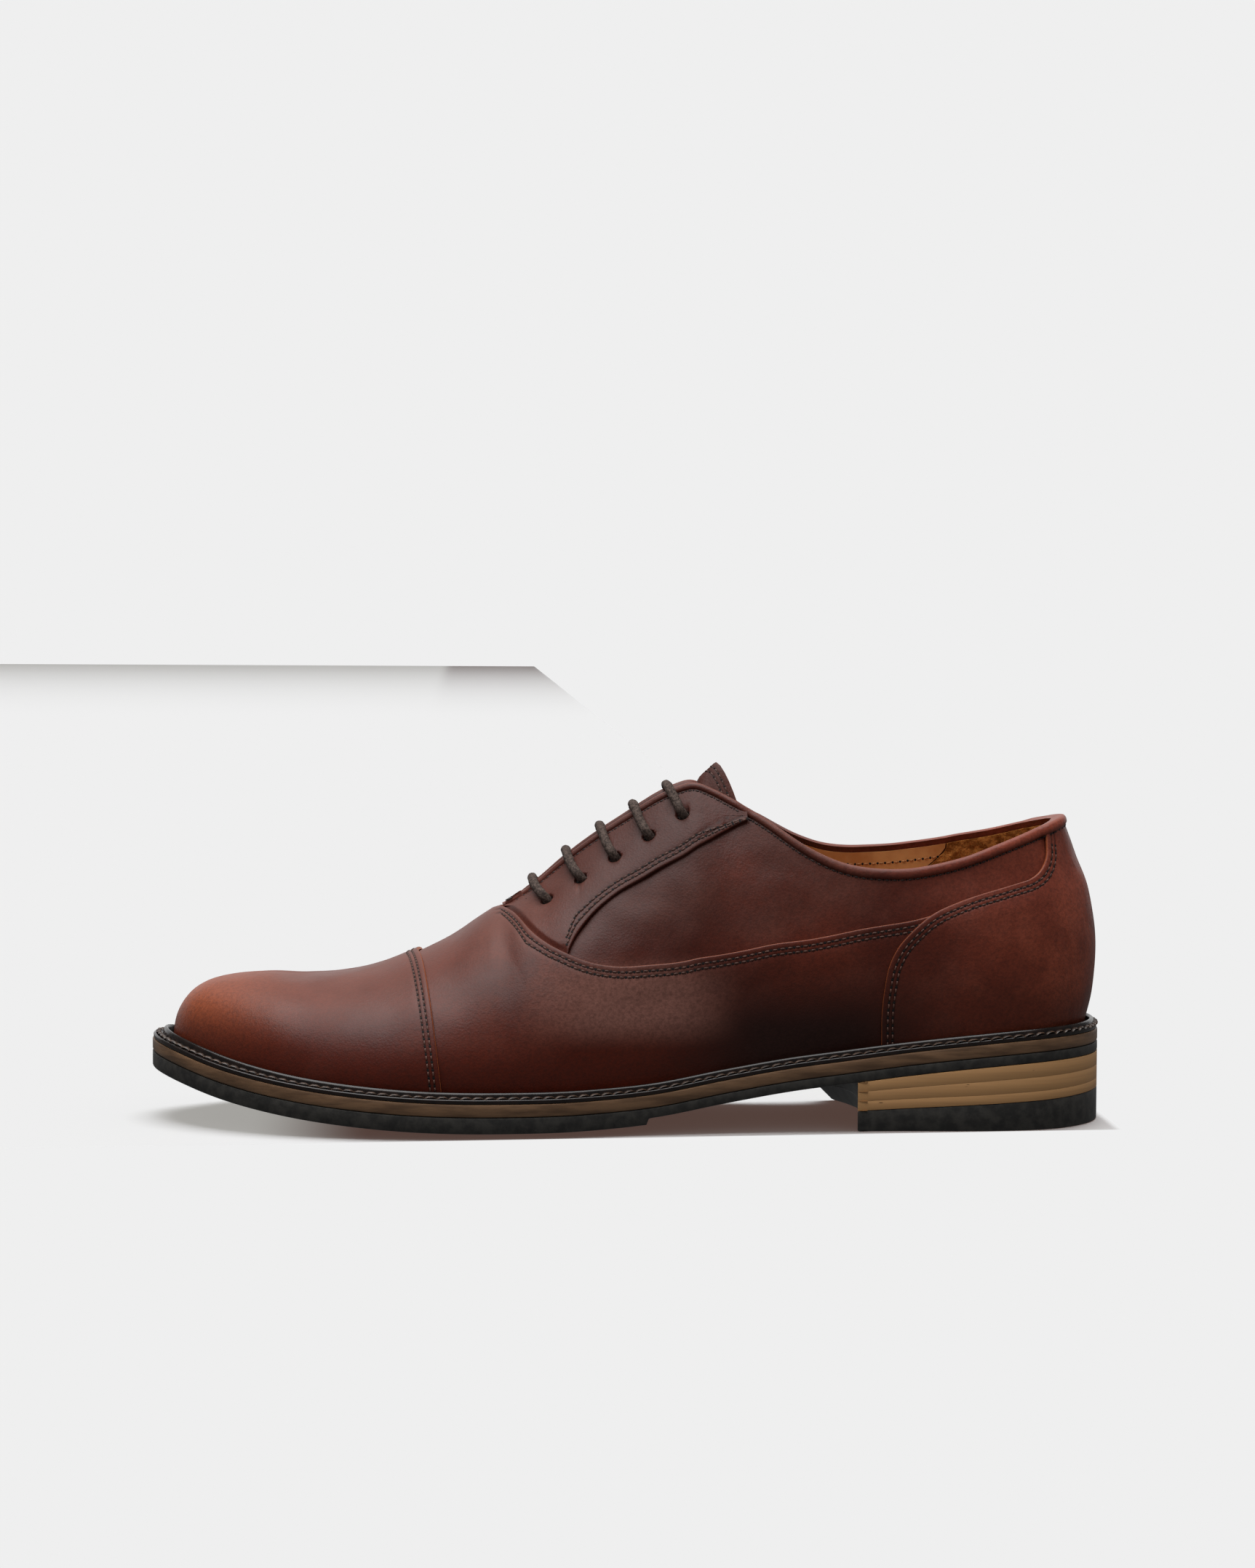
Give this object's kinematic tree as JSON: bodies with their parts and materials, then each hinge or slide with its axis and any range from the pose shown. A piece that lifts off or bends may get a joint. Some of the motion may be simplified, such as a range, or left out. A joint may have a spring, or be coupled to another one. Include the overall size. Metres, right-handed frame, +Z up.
{
  "type": "leather oxford shoe",
  "caption": "Left cap-toe leather oxford with closed lacing, welted midsole, part rubber outsole and a low stacked leather heel.",
  "frame": {"origin": "middle of the footprint, on the ground under the shoe", "axes": "+Z up, toe towards -X, heel towards +X, outer (lateral) side towards -Y"},
  "size_m": [0.3004, 0.1034, 0.1087],
  "materials": {
    "upper_leather": "waxed pull-up calf leather, soft sheen, mottled red-brown",
    "binding_leather": "thin rolled leather edging, soft sheen",
    "lining_leather": "smooth natural tan lining leather, dull",
    "lining_suede": "rough suede heel grip",
    "sock_leather": "smooth tan leather sock",
    "insole_board": "undyed insole leather board",
    "stiffener_board": "pressed leather board, matte",
    "cork": "ground cork in paste, matte",
    "shank_steel": "rolled spring steel",
    "welt_leather": "burnished dark leather welt, glossy",
    "sole_thread": "waxed linen thread",
    "midsole_leather": "stained and waxed sole leather edge",
    "sole_rubber": "near-black rubber, matte",
    "heel_stack": "stacked sole leather, fine horizontal layers",
    "heel_rubber": "near-black rubber top piece, matte",
    "nail_steel": "plain steel",
    "eyelet_brass": "aged brass",
    "lace_cord": "round waxed cotton braid",
    "aglet_plastic": "clear dark film wrap"
  },
  "bodies": {
    "shoe": {"toe_cap": "upper_leather", "vamp": "upper_leather", "facing_lateral": "upper_leather", "quarter_lateral": "upper_leather", "facing_medial": "upper_leather", "quarter_medial": "upper_leather", "heel_counter_cover": "upper_leather", "topline_binding": "binding_leather", "vamp_lining": "lining_leather", "quarter_lining_lateral": "lining_leather", "quarter_lining_medial": "lining_leather", "heel_grip": "lining_suede", "toe_puff": "stiffener_board", "heel_stiffener": "stiffener_board", "insole": "insole_board", "sock_liner": "sock_leather", "cork_filler": "cork", "shank": "shank_steel", "welt": "welt_leather", "welt_thread": "sole_thread", "midsole": "midsole_leather", "outsole": "sole_rubber", "heel_lift_1": "heel_stack", "heel_lift_2": "heel_stack", "heel_lift_3": "heel_stack", "top_lift": "heel_rubber", "heel_nail_1": "nail_steel", "heel_nail_2": "nail_steel", "heel_nail_3": "nail_steel", "heel_nail_4": "nail_steel", "heel_nail_5": "nail_steel", "eyelet_lateral_1": "eyelet_brass", "eyelet_lateral_2": "eyelet_brass", "eyelet_lateral_3": "eyelet_brass", "eyelet_lateral_4": "eyelet_brass", "eyelet_lateral_5": "eyelet_brass", "eyelet_medial_1": "eyelet_brass", "eyelet_medial_2": "eyelet_brass", "eyelet_medial_3": "eyelet_brass", "eyelet_medial_4": "eyelet_brass", "eyelet_medial_5": "eyelet_brass", "lace": "lace_cord", "aglet_1": "aglet_plastic", "aglet_2": "aglet_plastic"},
    "tongue": {"tongue": "upper_leather", "tongue_lining": "lining_leather"}
  },
  "joints": [
    {"name": "tongue_tilt", "type": "hinge", "parent": "shoe", "child": "tongue", "pos_m": [-0.044, 0.003, 0.055], "axis": [0, 1, 0], "range_deg": [0, 8]}
  ]
}
